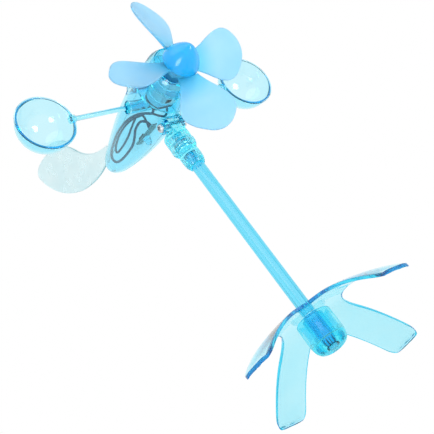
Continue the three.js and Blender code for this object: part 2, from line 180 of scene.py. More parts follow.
def noise(tree, scale, detail=2.0, stretch=(1, 1, 1)):
    """A noise value over the object's own coordinates, in metres."""
    place = tree.nodes.new("ShaderNodeTexCoord")
    sizing = tree.nodes.new("ShaderNodeMapping")
    sizing.inputs["Scale"].default_value = stretch
    grain = tree.nodes.new("ShaderNodeTexNoise")
    grain.inputs["Scale"].default_value = scale
    grain.inputs["Detail"].default_value = detail
    tree.links.new(place.outputs["Object"], sizing.inputs["Vector"])
    tree.links.new(sizing.outputs["Vector"], grain.inputs["Vector"])
    return grain.outputs["Fac"]


def spread(tree, value, low, high):
    """The value mapped to a range."""
    ranging = tree.nodes.new("ShaderNodeMapRange")
    ranging.inputs["From Min"].default_value = 0.3
    ranging.inputs["From Max"].default_value = 0.7
    ranging.inputs["To Min"].default_value = low
    ranging.inputs["To Max"].default_value = high
    tree.links.new(value, ranging.inputs["Value"])
    return ranging.outputs["Result"]


def blended(tree, value, one, two):
    """A colour between two, by the value."""
    mix = tree.nodes.new("ShaderNodeMix")
    mix.data_type = "RGBA"
    mix.inputs["A"].default_value = (*one, 1)
    mix.inputs["B"].default_value = (*two, 1)
    tree.links.new(value, mix.inputs["Factor"])
    return mix.outputs["Result"]


def surface(name, one, two, rough, grain=150, bump=0.1, bump_scale=1500, depth=0.0001, stretch=(1, 1, 1)):
    """A material whose colour, roughness and relief vary over the surface."""
    look = bpy.data.materials.new(name)
    look.use_nodes = True
    tree = look.node_tree
    shader = tree.nodes["Principled BSDF"]
    value = noise(tree, grain, 3, stretch)
    tree.links.new(blended(tree, spread(tree, value, 0, 1), one, two), shader.inputs["Base Color"])
    tree.links.new(spread(tree, noise(tree, grain * 2.3, 2, stretch), *rough), shader.inputs["Roughness"])
    relief = tree.nodes.new("ShaderNodeBump")
    relief.inputs["Strength"].default_value = bump
    relief.inputs["Distance"].default_value = depth
    tree.links.new(noise(tree, bump_scale, 2, stretch), relief.inputs["Height"])
    tree.links.new(relief.outputs["Normal"], shader.inputs["Normal"])
    return look, shader


def plastic(name, one, two, rough, absorb, density, through=1.0, **detail):
    """Translucent plastic: it takes its colour from its depth."""
    look, shader = surface(name, one, two, rough, **detail)
    shader.inputs["Transmission Weight"].default_value = through
    shader.inputs["IOR"].default_value = 1.5
    inside = look.node_tree.nodes.new("ShaderNodeVolumeAbsorption")
    inside.inputs["Color"].default_value = (*absorb, 1)
    inside.inputs["Density"].default_value = density
    output = look.node_tree.nodes["Material Output"]
    look.node_tree.links.new(inside.outputs["Volume"], output.inputs["Volume"])
    return look


def metal(name, one, two, rough, **detail):
    look, shader = surface(name, one, two, rough, **detail)
    shader.inputs["Metallic"].default_value = 1
    return look


def opaque(name, one, two, rough, **detail):
    return surface(name, one, two, rough, **detail)[0]


def deeper_inside(look, point, near, far, colour):
    """The colour deepens towards a point of the object, from far to near, in metres."""
    tree = look.node_tree
    shader = tree.nodes["Principled BSDF"]
    place = tree.nodes.new("ShaderNodeTexCoord")
    away = tree.nodes.new("ShaderNodeVectorMath")
    away.operation = "DISTANCE"
    away.inputs[1].default_value = point
    tree.links.new(place.outputs["Object"], away.inputs[0])
    ranging = tree.nodes.new("ShaderNodeMapRange")
    ranging.interpolation_type = "SMOOTHSTEP"
    ranging.inputs["From Min"].default_value = near
    ranging.inputs["From Max"].default_value = far
    tree.links.new(away.outputs["Value"], ranging.inputs["Value"])
    pale = shader.inputs["Base Color"].links[0].from_socket
    mix = tree.nodes.new("ShaderNodeMix")
    mix.data_type = "RGBA"
    mix.inputs["A"].default_value = (*colour, 1)
    tree.links.new(ranging.outputs["Result"], mix.inputs["Factor"])
    tree.links.new(pale, mix.inputs["B"])
    tree.links.new(mix.outputs["Result"], shader.inputs["Base Color"])


TINT = (0, 0.925, 0.985)
LOOKS = {
    "clear": plastic("clear_plastic", (0.57, 0.9, 1), (0.63, 0.92, 1), (0.02, 0.06), TINT, 100,
                     grain=60, bump=0.05, bump_scale=400),
    "mast": plastic("mast_plastic", (0.68, 0.87, 0.98), (0.77, 0.91, 0.99), (0.01, 0.03), (0, 0.9, 0.97), 330,
                    grain=120, bump=0.01, bump_scale=500, stretch=(1, 1, 0.02)),
    "collar": plastic("collar_plastic", (0.54, 0.9, 1), (0.62, 0.925, 1), (0.1, 0.15), (0, 0.96, 1), 70,
                      grain=60, bump=0.05, bump_scale=500),
    "pod": plastic("pod_plastic", (0.5, 0.87, 1), (0.58, 0.9, 1), (0.02, 0.06), TINT, 80,
                   grain=50, bump=0.05, bump_scale=260),
    "cup": plastic("cup_plastic", (0.66, 0.92, 1), (0.72, 0.94, 1), (0.02, 0.05), (0, 0.88, 0.96), 130,
                   grain=60, bump=0.04, bump_scale=300),
    "deep": plastic("deep_plastic", (0.34, 0.88, 1), (0.42, 0.91, 1), (0.06, 0.1), (0, 0.97, 1), 100,
                    grain=80, bump=0.05, bump_scale=600),
    "spinner": plastic("spinner_plastic", (0.01, 0.5, 1), (0.02, 0.56, 1), (0.12, 0.2), (0, 0.94, 1), 50,
                       through=0.45, grain=80, bump=0.04, bump_scale=700),
    "blade": plastic("blade_plastic", (0.35, 0.74, 1), (0.43, 0.79, 1), (0.3, 0.42), (0, 0.9, 1), 40,
                     through=0.7, grain=60, bump=0.1, bump_scale=900),
    "fin": plastic("fin_plastic", (0.77, 0.96, 1), (0.84, 0.98, 1), (0.24, 0.34), (0, 0.9, 1), 30,
                   grain=45, bump=0.03, bump_scale=260),
    "steel": metal("plain_steel", (0.5, 0.55, 0.58), (0.66, 0.7, 0.72), (0.25, 0.45), grain=400, bump=0.2),
    "can": metal("motor_can_steel", (0.82, 0.92, 0.94), (0.9, 0.97, 0.98), (0.35, 0.55), grain=300,
                 bump=0.15, stretch=(1, 8, 1)),
    "brass": metal("brass", (0.62, 0.46, 0.2), (0.75, 0.58, 0.28), (0.25, 0.4), grain=500, bump=0.15),
    "copper": metal("copper_windings", (0.6, 0.27, 0.12), (0.75, 0.38, 0.18), (0.3, 0.5), grain=900,
                    bump=0.6, bump_scale=2500, stretch=(1, 0.2, 1)),
    "ferrite": opaque("ferrite", (0.05, 0.05, 0.055), (0.09, 0.09, 0.1), (0.5, 0.7), grain=700, bump=0.3),
    "dark": opaque("dark_plastic", (0.03, 0.05, 0.07), (0.06, 0.09, 0.12), (0.4, 0.6), grain=500, bump=0.2),
    "lead": opaque("lead_sleeve", (0.02, 0.085, 0.15), (0.04, 0.13, 0.21), (0.35, 0.5), grain=800, bump=0.2),
    "board": opaque("board_green", (0.12, 0.34, 0.34), (0.19, 0.43, 0.43), (0.3, 0.5), grain=900, bump=0.4),
    "solder": metal("solder", (0.6, 0.62, 0.63), (0.75, 0.77, 0.78), (0.2, 0.4), grain=900, bump=0.3),
}
deeper_inside(LOOKS["blade"], HEAD @ Vector((0, HUB_Y, ROTOR_Z)), 0.012, 0.032, (0.1, 0.7, 1))


# ---------------------------------------------------------------- mesh tools, in millimetres

def mesh_of(points, faces, name="work"):
    """A closed mesh with its faces pointing out."""
    mesh = bpy.data.meshes.new(name)
    mesh.from_pydata([tuple(p) for p in points], [], faces)
    work = bmesh.new()
    work.from_mesh(mesh)
    bmesh.ops.remove_doubles(work, verts=work.verts, dist=1e-4)
    bmesh.ops.dissolve_degenerate(work, edges=work.edges, dist=1e-5)
    bmesh.ops.recalc_face_normals(work, faces=work.faces)
    work.to_mesh(mesh)
    work.free()
    return mesh


def softened(profile, size, steps=4):
    """A closed profile with its corners rounded, apart from those on the axis."""
    out = []
    for i, corner in enumerate(profile):
        here = np.array(corner, float)
        if here[0] < 1e-6:
            out.append(tuple(here))
            continue
        before = np.array(profile[i - 1], float) - here
        after = np.array(profile[(i + 1) % len(profile)], float) - here
        reach = [np.linalg.norm(before), np.linalg.norm(after)]
        cut = min(size, 0.45 * min(reach))
        start, end = here + before / reach[0] * cut, here + after / reach[1] * cut
        for t in np.linspace(0, 1, steps + 1):
            out.append(tuple((1 - t) ** 2 * start + 2 * t * (1 - t) * here + t ** 2 * end))
    return out


def ring_point(axis, radius, angle, along):
    c, s = radius * math.cos(angle), radius * math.sin(angle)
    return {"x": (along, c, s), "y": (c, along, s), "z": (c, s, along)}[axis]


def grid_faces(rows, columns, closed_rows):
    """Quads over a grid whose columns close on themselves."""
    faces = []
    for i in range(rows if closed_rows else rows - 1):
        for j in range(columns):
            a, b = i * columns + j, i * columns + (j + 1) % columns
            c, d = ((i + 1) % rows) * columns + (j + 1) % columns, ((i + 1) % rows) * columns + j
            faces.append((a, b, c, d))
    return faces


def turned(profile, axis, sides=72, soft=0.0, at=(0, 0, 0), wobble=None):
    """A closed profile of (radius, along) turned about an axis.

    wobble gives a change of radius for each angle and height.
    """
    if soft:
        profile = softened(profile, soft)
    points = []
    for radius, along in profile:
        for j in range(sides):
            angle = 2 * math.pi * j / sides
            reach = radius + (wobble(radius, angle, along) if wobble else 0)
            points.append(np.array(ring_point(axis, reach, angle, along)) + at)
    return mesh_of(points, grid_faces(len(profile), sides, True))


def rod(radius, start, end, axis, soft=0.0, at=(0, 0, 0), sides=48):
    return turned([(0, start), (radius, start), (radius, end), (0, end)], axis, sides, soft, at)


def lofted(loops):
    """A skin over loops of equal length, closed at both ends."""
    size = len(loops[0])
    points = [p for loop in loops for p in loop]
    faces = grid_faces(len(loops), size, False)
    faces.append(tuple(range(size - 1, -1, -1)))
    faces.append(tuple(range((len(loops) - 1) * size, len(loops) * size)))
    return mesh_of(points, faces)


def block(x0, x1, y0, y1, z0, z1):
    points = [(x, y, z) for x in (x0, x1) for y in (y0, y1) for z in (z0, z1)]
    faces = [(0, 1, 3, 2), (4, 6, 7, 5), (0, 4, 5, 1), (2, 3, 7, 6), (0, 2, 6, 4), (1, 5, 7, 3)]
    return mesh_of(points, faces)


def cord_mesh(points, radius, steps=220, sides=16):
    """A round cord along a smooth curve through the points."""
    path = spline(np.array(points, float), steps)
    side = np.array((1.0, 0, 0))
    loops = []
    for i, here in enumerate(path):
        ahead = path[min(i + 1, len(path) - 1)] - path[max(i - 1, 0)]
        ahead /= np.linalg.norm(ahead)
        side = side - ahead * side.dot(ahead)
        side /= np.linalg.norm(side)
        up = np.cross(ahead, side)
        angles = [2 * math.pi * j / sides for j in range(sides)]
        loops.append([here + radius * (math.cos(a) * side + math.sin(a) * up) for a in angles])
    return lofted(loops)


def spline(points, steps):
    """Evenly spaced points on a Catmull-Rom curve."""
    padded = np.vstack([2 * points[0] - points[1], points, 2 * points[-1] - points[-2]])
    dense = []
    for i in range(len(points) - 1):
        a, b, c, d = padded[i:i + 4]
        for t in np.linspace(0, 1, 24, endpoint=False):
            dense.append(0.5 * (2 * b + (c - a) * t + (2 * a - 5 * b + 4 * c - d) * t ** 2
                                + (3 * b - a - 3 * c + d) * t ** 3))
    dense.append(points[-1])
    dense = np.array(dense)
    run = np.concatenate([[0], np.cumsum(np.linalg.norm(np.diff(dense, axis=0), axis=1))])
    wanted = np.linspace(0, run[-1], steps)
    return np.stack([np.interp(wanted, run, dense[:, k]) for k in range(dense.shape[1])], axis=1)


def carved(base, *steps):
    """A mesh after booleans. Each step is an operation and the mesh it uses."""
    host = bpy.data.objects.new("work", base)
    made = [host]
    bpy.context.collection.objects.link(host)
    for operation, mesh in steps:
        tool = bpy.data.objects.new("work_tool", mesh)
        bpy.context.collection.objects.link(tool)
        made.append(tool)
        cut = host.modifiers.new("cut", "BOOLEAN")
        cut.operation = operation
        cut.object = tool
        cut.solver = "MANIFOLD"
    bpy.context.view_layer.update()
    seen = host.evaluated_get(bpy.context.evaluated_depsgraph_get())
    result = bpy.data.meshes.new_from_object(seen)
    for helper in made:
        bpy.data.objects.remove(helper)
    return result


def piece(name, mesh, place, body, look, node=None, sharp=40):
    """A finished piece: its mesh moved into the frame, shaded, coloured and riding on its body."""
    mesh.transform(place)
    mesh.name = name
    mesh.materials.clear()
    mesh.materials.append(LOOKS[look])
    mesh.shade_smooth()
    mesh.set_sharp_from_angle(angle=math.radians(sharp))
    made = bpy.data.objects.new(name, mesh)
    bpy.context.collection.objects.link(made)
    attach(made, body)
    if node:
        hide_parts(node)
    return made


def keep(node, look):
    """A CAD node that stays, with a better material."""
    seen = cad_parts[node]
    seen.data.materials.clear()
    seen.data.materials.append(LOOKS[look])
    seen.data.shade_smooth()
    seen.data.set_sharp_from_angle(angle=math.radians(40))


# ---------------------------------------------------------------- plates with rounded edges

def inward(loop, distance):
    """The loop moved to its left, which is into the material."""
    along = np.roll(loop, -1, axis=0) - np.roll(loop, 1, axis=0)
    along /= np.linalg.norm(along, axis=1)[:, None]
    return loop + distance * np.stack([-along[:, 1], along[:, 0]], axis=1)


def inside(loop, points):
    """Which points lie inside the loop."""
    x, y = points[:, 0], points[:, 1]
    hit = np.zeros(len(points), bool)
    for (ax, ay), (bx, by) in zip(loop, np.roll(loop, -1, axis=0)):
        crosses = (ay > y) != (by > y)
        if crosses.any():
            hit ^= crosses & (x < (bx - ax) * (y - ay) / (by - ay + 1e-12) + ax)
    return hit


def plate(loops, top, bottom, edge, spacing):
    """A plate between two height fields. The first loop runs anticlockwise and any hole's clockwise."""
    rims = [inward(loop, edge) for loop in loops]
    low, high = rims[0].min(0), rims[0].max(0)
    grid = np.stack(np.meshgrid(np.arange(low[0], high[0], spacing), np.arange(low[1], high[1], spacing)), -1)
    grid = grid.reshape(-1, 2)
    margins = [inward(loop, edge + 0.45 * spacing) for loop in loops]
    held = inside(margins[0], grid)
    for margin in margins[1:]:
        held &= ~inside(margin, grid)
    flat = np.vstack([*rims, grid[held]])
    edges, start = [], 0
    for rim in rims:
        edges += [(start + i, start + (i + 1) % len(rim)) for i in range(len(rim))]
        start += len(rim)
    found = delaunay_2d_cdt([Vector(p) for p in flat], edges, [], 0, 1e-6)
    plan = np.array([tuple(p) for p in found[0]])
    faces = np.array(found[2])
    centres = plan[faces].mean(axis=1)
    solid = inside(rims[0], centres)
    for rim in rims[1:]:
        solid &= ~inside(rim, centres)
    faces = faces[solid]
    count = len(plan)
    points = [(x, y, top(x, y)) for x, y in plan] + [(x, y, bottom(x, y)) for x, y in plan]
    skin = [tuple(f) for f in faces] + [tuple(int(i) + count for i in reversed(f)) for f in faces]
    for loop in loops:
        add_edge(points, skin, loop, top, bottom, edge)
    return mesh_of(points, skin)


def add_edge(points, faces, loop, top, bottom, edge, steps=4):
    """The rounded band that joins a plate's two faces along a loop."""
    angles = np.linspace(0, math.pi / 2, steps + 1)
    bands = [(edge * (1 - math.sin(a)), edge * (1 - math.cos(a)), top, -1) for a in angles]
    bands += [(edge * (1 - math.sin(a)), edge * (1 - math.cos(a)), bottom, 1) for a in reversed(angles)]
    start, size = len(points), len(loop)
    for offset, drop, height, way in bands:
        for x, y in inward(loop, offset):
            points.append((x, y, height(x, y) + way * drop))
    for quad in grid_faces(len(bands), size, False):
        faces.append(tuple(start + i for i in quad))


# ---------------------------------------------------------------- stand and mast

def sheet_height(x, y):
    return max(0, DOME_Z * (1 - (x * x + y * y) / DOME_R ** 2))


def stand_outline():
    """The X of four legs: filleted notches and round-cornered ends."""
    half, corner = LEG_WIDTH / 2, 9
    legs = [-LEG_SPREAD, LEG_SPREAD, 180 - LEG_SPREAD, 180 + LEG_SPREAD]
    out = []

    def at(angle, along, side):
        c, s = math.cos(angle), math.sin(angle)
        return np.array((along * c - side * s, along * s + side * c))

    def bend(a, b, c, steps):
        return [(1 - t) ** 2 * a + 2 * t * (1 - t) * b + t * t * c for t in np.linspace(0, 1, steps + 1)]

    for i, leg in enumerate(legs):
        angle = math.radians(leg)
        ahead = math.radians(legs[i + 1] if i < 3 else legs[0] + 360)
        turn = (ahead - angle) / 2
        meet = half / math.tan(turn)
        fillet = 13 if turn < math.pi / 4 else 27
        out += bend(at(angle, LEG_REACH - corner, -half), at(angle, LEG_REACH, -half),
                    at(angle, LEG_REACH, corner - half), 8)
        out += bend(at(angle, LEG_REACH, half - corner), at(angle, LEG_REACH, half),
                    at(angle, LEG_REACH - corner, half), 8)
        out += bend(at(angle, meet + fillet, half), at(angle, meet, half),
                    at(ahead, meet + fillet, -half), 24)
    return resampled(np.array(out), 1.5)


def resampled(loop, step):
    """The closed loop with its long stretches divided."""
    out = []
    for here, there in zip(loop, np.roll(loop, -1, axis=0)):
        cuts = max(1, math.ceil(np.linalg.norm(there - here) / step))
        out += [here + (there - here) * k / cuts for k in range(cuts)]
    return np.array(out)


def circle(radius, count, clockwise=False):
    way = -1 if clockwise else 1
    return np.array([(radius * math.cos(way * 2 * math.pi * i / count),
                      radius * math.sin(way * 2 * math.pi * i / count)) for i in range(count)])


def stand():
    sheet = plate([stand_outline(), circle(MAST_R + GAP, 40, True)],
                  lambda x, y: sheet_height(x, y) + SHEET, sheet_height, 0.55, 2.2)
    sheet.transform(Matrix.Rotation(math.radians(STAND_TURN), 4, "Z"))
    piece("leg_sheet", sheet, STAND, "stand", "clear", "stand_sheet")
    bore, top = MAST_R + GAP, SOCKET_TOP_Z
    socket = turned([
        (0, 5.2), (7, 5.2), (9.6, 6.3), (11.3, 9), (12.1, 13.5), (12.1, top), (10.3, top), (10.3, 15),
        (8.8, 12), (7, 11.4), (7, top), (bore, top), (bore, MAST_FOOT - GAP), (0, MAST_FOOT - GAP),
    ], "z", soft=0.9)
    piece("mast_socket", socket, STAND, "stand", "deep", "stand_socket")


def mast():
    """A tube with shallow ribs down its bore."""
    def ribs(radius, angle, along):
        return 0.22 * math.cos(8 * angle) if radius < MAST_R - 1 else 0
    tube = turned([
        (MAST_BORE_R, MAST_FOOT), (MAST_R, MAST_FOOT), (MAST_R, MAST_TOP), (MAST_BORE_R, MAST_TOP),
    ], "z", 96, 0.4, wobble=ribs)
    piece("mast_tube", tube, STAND, "stand", "mast", "mast")


def collar():
    """The fixed lower stage and the turning cap with its tongue, drawn with the mast's top at z = 0."""
    bore, pin = MAST_R + GAP, PIN_HIGH - MAST_TOP
    place = STAND @ Matrix.Translation((0, 0, MAST_TOP))

    def flutes(radius, angle, along):
        return -0.25 * abs(math.sin(9 * angle)) if radius > 6.9 and -6.5 < along < 3 else 0
    base = turned([
        (bore, -9.5), (5.7, -9), (7, -6), (7.3, -2), (7.2, 2.5), (6.4, 5), (4.6, 5), (4.6, 12.5), (0, 12.5),
        (0, GAP), (bore, GAP),
    ], "z", 108, 0.7, wobble=flutes)
    piece("collar_base", base, place, "stand", "collar", "swivel_base")

    def grip(radius, angle, along):
        return -0.35 * abs(math.sin(8 * angle)) if radius > 8.4 and 6.5 < along < 19 else 0
    shell = turned([
        (5, 5.3), (8, 5.3), (9.1, 7), (9.2, 10.5), (8.7, 12.5), (9, 14.5), (8.8, 19.2), (7.8, 20.5),
        (0, 20.5), (0, 16.9), (5, 16.9), (5, 11.6), (6.6, 11.6), (6.6, 8), (5, 8),
    ], "z", 96, 0.6, wobble=grip)
    eye = rod(TONGUE_R, -TONGUE_HALF, TONGUE_HALF, "x", 0.5, (0, PIN_Y, pin))
    stem = block(-TONGUE_HALF, TONGUE_HALF, PIN_Y - TONGUE_R, PIN_Y + TONGUE_R, 19, pin)
    hole = rod(PIN_R + GAP, -9, 9, "x", at=(0, PIN_Y, pin))
    cap = carved(shell, ("UNION", stem), ("UNION", eye), ("DIFFERENCE", hole))
    piece("collar_cap", cap, place, "swivel", "collar", "swivel_cap")
    ring = turned([(4.9, 9), (6.2, 9), (6.2, 10.4), (4.9, 10.4)], "z", soft=0.3)
    piece("snap_ring", ring, place, "swivel", "steel", "retaining_ring")


# ---------------------------------------------------------------- pod

POD = np.array([
    (-42, 13.8, 15.6, -2.5), (-39, 15.8, 17.6, -2.6), (-30, 17.8, 19.4, -2.8), (-15, 19.2, 20.4, -2.9),
    (0, 19.6, 20.2, -2.6), (15, 18.8, 19.2, -2.2), (30, 16.6, 17.8, -1.6), (45, 13.6, 15.7, -0.7),
    (60, 10.3, 12.8, 0.5), (70, 7.9, 10.3, 1.5), (76, 6.1, 7.9, 2.2), (80, 4.1, 5.4, 2.7),
    (82.4, 1.8, 2.6, 3),
], float)
CASE_SCREW = {"y": -3, "z": 11.5, "head": 2.2, "shank": 1.2}


def pod_at(y):
    """Half width, half height and middle height of the pod, smooth between its stations."""
    ys = POD[:, 0]
    i = int(np.clip(np.searchsorted(ys, y) - 1, 0, len(ys) - 2))
    span = ys[i + 1] - ys[i]
    t = (y - ys[i]) / span
    slopes = np.gradient(POD[:, 1:], ys, axis=0)
    a, b = POD[i, 1:], POD[i + 1, 1:]
    return ((1 + 2 * t) * (1 - t) ** 2 * a + t * (1 - t) ** 2 * span * slopes[i]
            + t * t * (3 - 2 * t) * b + t * t * (t - 1) * span * slopes[i + 1])


def pod_skin(start, end, inset, count=70, sides=72):
    loops = []
    for y in start + (end - start) * (1 - np.cos(np.linspace(0, math.pi, count))) / 2:
        wide, tall, mid = pod_at(y)
        angles = [2 * math.pi * (j + 0.5) / sides for j in range(sides)]
        loops.append([((wide - inset) * math.cos(a), y, mid + (tall - inset) * math.sin(a)) for a in angles])
    return lofted(loops)


def flat_can(radius, flat, start, end, sides=96):
    """A can with two flats, along y."""
    loops = []
    for y in (start, start + 0.5, end - 0.5, end):
        trim = 0.5 if y in (start, end) else 0
        loop = []
        for j in range(sides):
            a = 2 * math.pi * j / sides
            z = max(-flat + trim, min(flat - trim, (radius - trim) * math.sin(a)))
            loop.append(((radius - trim) * math.cos(a), y, ROTOR_Z + z))
        loops.append(loop)
    return lofted(loops)


def pod():
    across = {}
    for key, radius, y, z, reach in (
        ("boss", 3, CASE_SCREW["y"], CASE_SCREW["z"], 12.6),
        ("ears", EAR_R, HINGE.y, HINGE.z, EAR_OUT),
        ("sleeve", SLEEVE_R + 0.35, 0, 0, 30),
        ("pin", PIN_R + GAP, HINGE.y, HINGE.z, 20),
        ("slot", 6.3, HINGE.y, HINGE.z, TONGUE_HALF + GAP),
        ("screw", CASE_SCREW["shank"] + GAP, CASE_SCREW["y"], CASE_SCREW["z"], 7.9),
    ):
        across[key] = rod(radius, -reach, reach, "x", at=(0, y, z))
    head_sink = rod(CASE_SCREW["head"] + GAP, -30, -7.8, "x", at=(0, CASE_SCREW["y"], CASE_SCREW["z"]))
    ribs = [carved(pod_skin(-41.5, 82, POD_WALL / 2),
                   ("INTERSECT", block(-30, 30, y - 0.7, y + 0.7, -30, 30))) for y in (-31, -18)]
    shell = carved(
        pod_skin(-42, 82.4, 0),
        ("DIFFERENCE", pod_skin(-42 + POD_WALL, 79, POD_WALL)),
        ("UNION", ribs[0]), ("UNION", ribs[1]),
        ("UNION", across["boss"]), ("UNION", across["ears"]),
        ("UNION", block(-EAR_OUT, EAR_OUT, HINGE.y - EAR_R, HINGE.y + EAR_R, HINGE.z, HINGE.z + 5.5)),
        ("DIFFERENCE", rod(MOTOR_R + 0.4, MOTOR_FRONT - GAP, MOTOR_BACK + 5, "y", at=(0, 0, ROTOR_Z))),
        ("DIFFERENCE", rod(3.5, -50, -30, "y", at=(0, 0, ROTOR_Z))),
        ("DIFFERENCE", block(-FIN_THICK / 2 - GAP, FIN_THICK / 2 + GAP, 63, 90, 7.2, 30)),
        ("DIFFERENCE", across["sleeve"]), ("DIFFERENCE", across["pin"]),
        ("DIFFERENCE", across["slot"]), ("DIFFERENCE", across["screw"]),
        ("DIFFERENCE", head_sink),
    )
    for side, x0, x1 in (("left", -40, -SPLIT), ("right", SPLIT, 40)):
        half = carved(shell.copy(), ("INTERSECT", block(x0, x1, -60, 100, -50, 50)))
        piece(f"pod_shell_{side}", half, HEAD, "head", "pod", f"pod_{side}", sharp=30)


def threaded(radius, start, end, depth=0.22, pitch=0.8):
    """A rod along x with a screw thread on it."""
    sides, count = 40, int((end - start) / pitch * 12)
    points = []
    for i in range(count + 1):
        along = start + (end - start) * i / count
        fade = min(1, (count - i) / 12)
        for j in range(sides):
            a = 2 * math.pi * j / sides
            wave = abs(((along / pitch - j / sides) % 1) * 2 - 1)
            r = radius - depth * wave - 0.4 * (1 - fade)
            points.append((along, r * math.cos(a), r * math.sin(a)))
    faces = grid_faces(count + 1, sides, False)
    faces.append(tuple(range(sides - 1, -1, -1)))
    faces.append(tuple(range(count * sides, (count + 1) * sides)))
    return mesh_of(points, faces)


def screw(name, node, head_r, head_from, head_to, shank_r, end, y, z):
    """A pan-head screw along x with a cross in its head."""
    tall = head_to - head_from
    head = turned([
        (0, head_from), (0.72 * head_r, head_from + 0.05 * tall), (head_r, head_from + 0.55 * tall),
        (head_r, head_to), (0, head_to),
    ], "x", 48, 0.5)
    slot = 0.17 * head_r
    cuts = [block(head_from - 1, head_from + 0.6 * tall, -0.6 * head_r, 0.6 * head_r, -slot, slot),
            block(head_from - 1, head_from + 0.6 * tall, -slot, slot, -0.6 * head_r, 0.6 * head_r)]
    whole = carved(head, ("UNION", threaded(shank_r, head_to - 0.4, end)),
                   ("DIFFERENCE", cuts[0]), ("DIFFERENCE", cuts[1]))
    whole.transform(Matrix.Translation((0, y, z)))
    piece(name, whole, HEAD, "head", "steel", node)


def screws():
    screw("tilt_bolt", "tilt_screw", 3.2, -10.5, -8.1, PIN_R, 10.9, HINGE.y, HINGE.z)
    screw("case_bolt", "case_screw", CASE_SCREW["head"], -10.2, -8.1, CASE_SCREW["shank"], 7.4,
          CASE_SCREW["y"], CASE_SCREW["z"])
    hexagon = turned([(0, 8.1), (3.3, 8.1), (3.3, 10.3), (0, 10.3)], "x", 6)
    cone = turned([(0, 8.0), (3.0, 8.0), (3.5, 8.7), (3.5, 9.7), (3.0, 10.4), (0, 10.4)], "x", 48)
    nut = carved(hexagon, ("INTERSECT", cone), ("DIFFERENCE", rod(PIN_R + GAP, 5, 15, "x")))
    nut.transform(Matrix.Translation((0, HINGE.y, HINGE.z)))
    piece("hex_nut", nut, HEAD, "head", "steel", "tilt_nut")


# ---------------------------------------------------------------- generator, leads and lamp

def motor():
    at = (0, 0, ROTOR_Z)
    can = carved(
        flat_can(MOTOR_R, MOTOR_FLAT, MOTOR_FRONT, MOTOR_BACK),
        ("UNION", rod(3.1, MOTOR_FRONT - 1.6, MOTOR_FRONT + 0.5, "y", 0.3, at)),
        ("DIFFERENCE", flat_can(MOTOR_R - 1, MOTOR_FLAT - 1, MOTOR_FRONT + 1.2, MOTOR_BACK + 1)),
        ("DIFFERENCE", rod(1.3, -50, -20, "y", at=at)),
        ("DIFFERENCE", block(-2.2, 2.2, MOTOR_BACK - 8, MOTOR_BACK - 4, ROTOR_Z + 5, ROTOR_Z + 11)),
        ("DIFFERENCE", block(-2.2, 2.2, MOTOR_BACK - 8, MOTOR_BACK - 4, ROTOR_Z - 11, ROTOR_Z - 5)),
    )
    piece("generator_can", can, HEAD, "head", "can", "motor_can")
    low, high = MOTOR_BACK + 2.4, MOTOR_BACK + 3.6
    cap = carved(
        flat_can(MOTOR_R - 0.2, MOTOR_FLAT - 0.2, MOTOR_BACK + GAP, MOTOR_BACK + 2.8),
        ("UNION", turned([(0, low), (4, low), (3.6, high), (0, high)], "y", 48, 0.3, at)),
        ("DIFFERENCE", rod(1.3, -20, MOTOR_BACK + 2.6, "y", at=at)),
    )
    piece("generator_cap", cap, HEAD, "head", "dark", "motor_end_cap")
    for node, look in (("magnet_left", "ferrite"), ("magnet_right", "ferrite"), ("armature", "copper"),
                       ("rotor_shaft", "steel"), ("terminal_left", "brass"), ("terminal_right", "brass"),
                       ("bearing_ball", "steel")):
        keep(node, look)


LEADS = {
    "lead_outer": (0.9, [
        (-5, -6.6, -6.5), (-5, -6, -9), (-4.6, -1.5, -8.8), (-4.2, 4.9, -4), (-4, 12.4, 1.1), (-4, 22.4, 5.9),
        (-4, 34.2, 9.2), (-4, 46.2, 10.3), (-3.9, 56, 8.9), (-3.7, 63.2, 6.6), (-3.5, 66.6, 3.8),
        (-3.5, 66.8, 0.6), (-3.6, 64.2, -2.6), (-3.8, 58.6, -5), (-4, 51.5, -6.6), (-4, 42.8, -7.6),
        (-4, 35.6, -7.6), (-4, 29.8, -5.6), (-3.8, 24.4, -2.9), (-2.5, 17.4, -2.2), (-0.6, 13.6, -5.5),
        (0.6, 12.6, -9.8),
    ]),
    "lead_inner": (0.8, [
        (5, -6.6, -6.5), (5, -5.8, -11), (3.6, -2.4, -13.6), (1.8, 1, -10.4), (0.6, 4.6, -5.6),
        (-0.4, 9.9, -1), (-1.5, 15.8, 1.6), (-1.5, 25.8, 6.2), (-1.5, 37.6, 9.2), (-1.4, 49, 9.8),
        (-1.2, 57, 8.4), (-0.6, 62.6, 6.2), (0.4, 63.6, 4.6), (0.8, 59.6, 4), (0.8, 51.7, 3.4),
        (0.8, 42.5, 3.6), (0.8, 34.9, 4.8), (0.9, 28.8, 5.6), (1, 23.5, 6), (1.2, 18.6, 4.6),
        (1.4, 16, 1), (1.5, 16.2, -4), (1.6, 17.6, -9.1),
    ]),
}


def solder_drop(x, y, z, size=1.2):
    return turned([
        (0, z - 0.3), (size, z - 0.3), (0.8 * size, z + 0.35 * size), (0.35 * size, z + 0.9 * size),
        (0, z + size),
    ], "z", 24, 0.2, (x, y, 0))


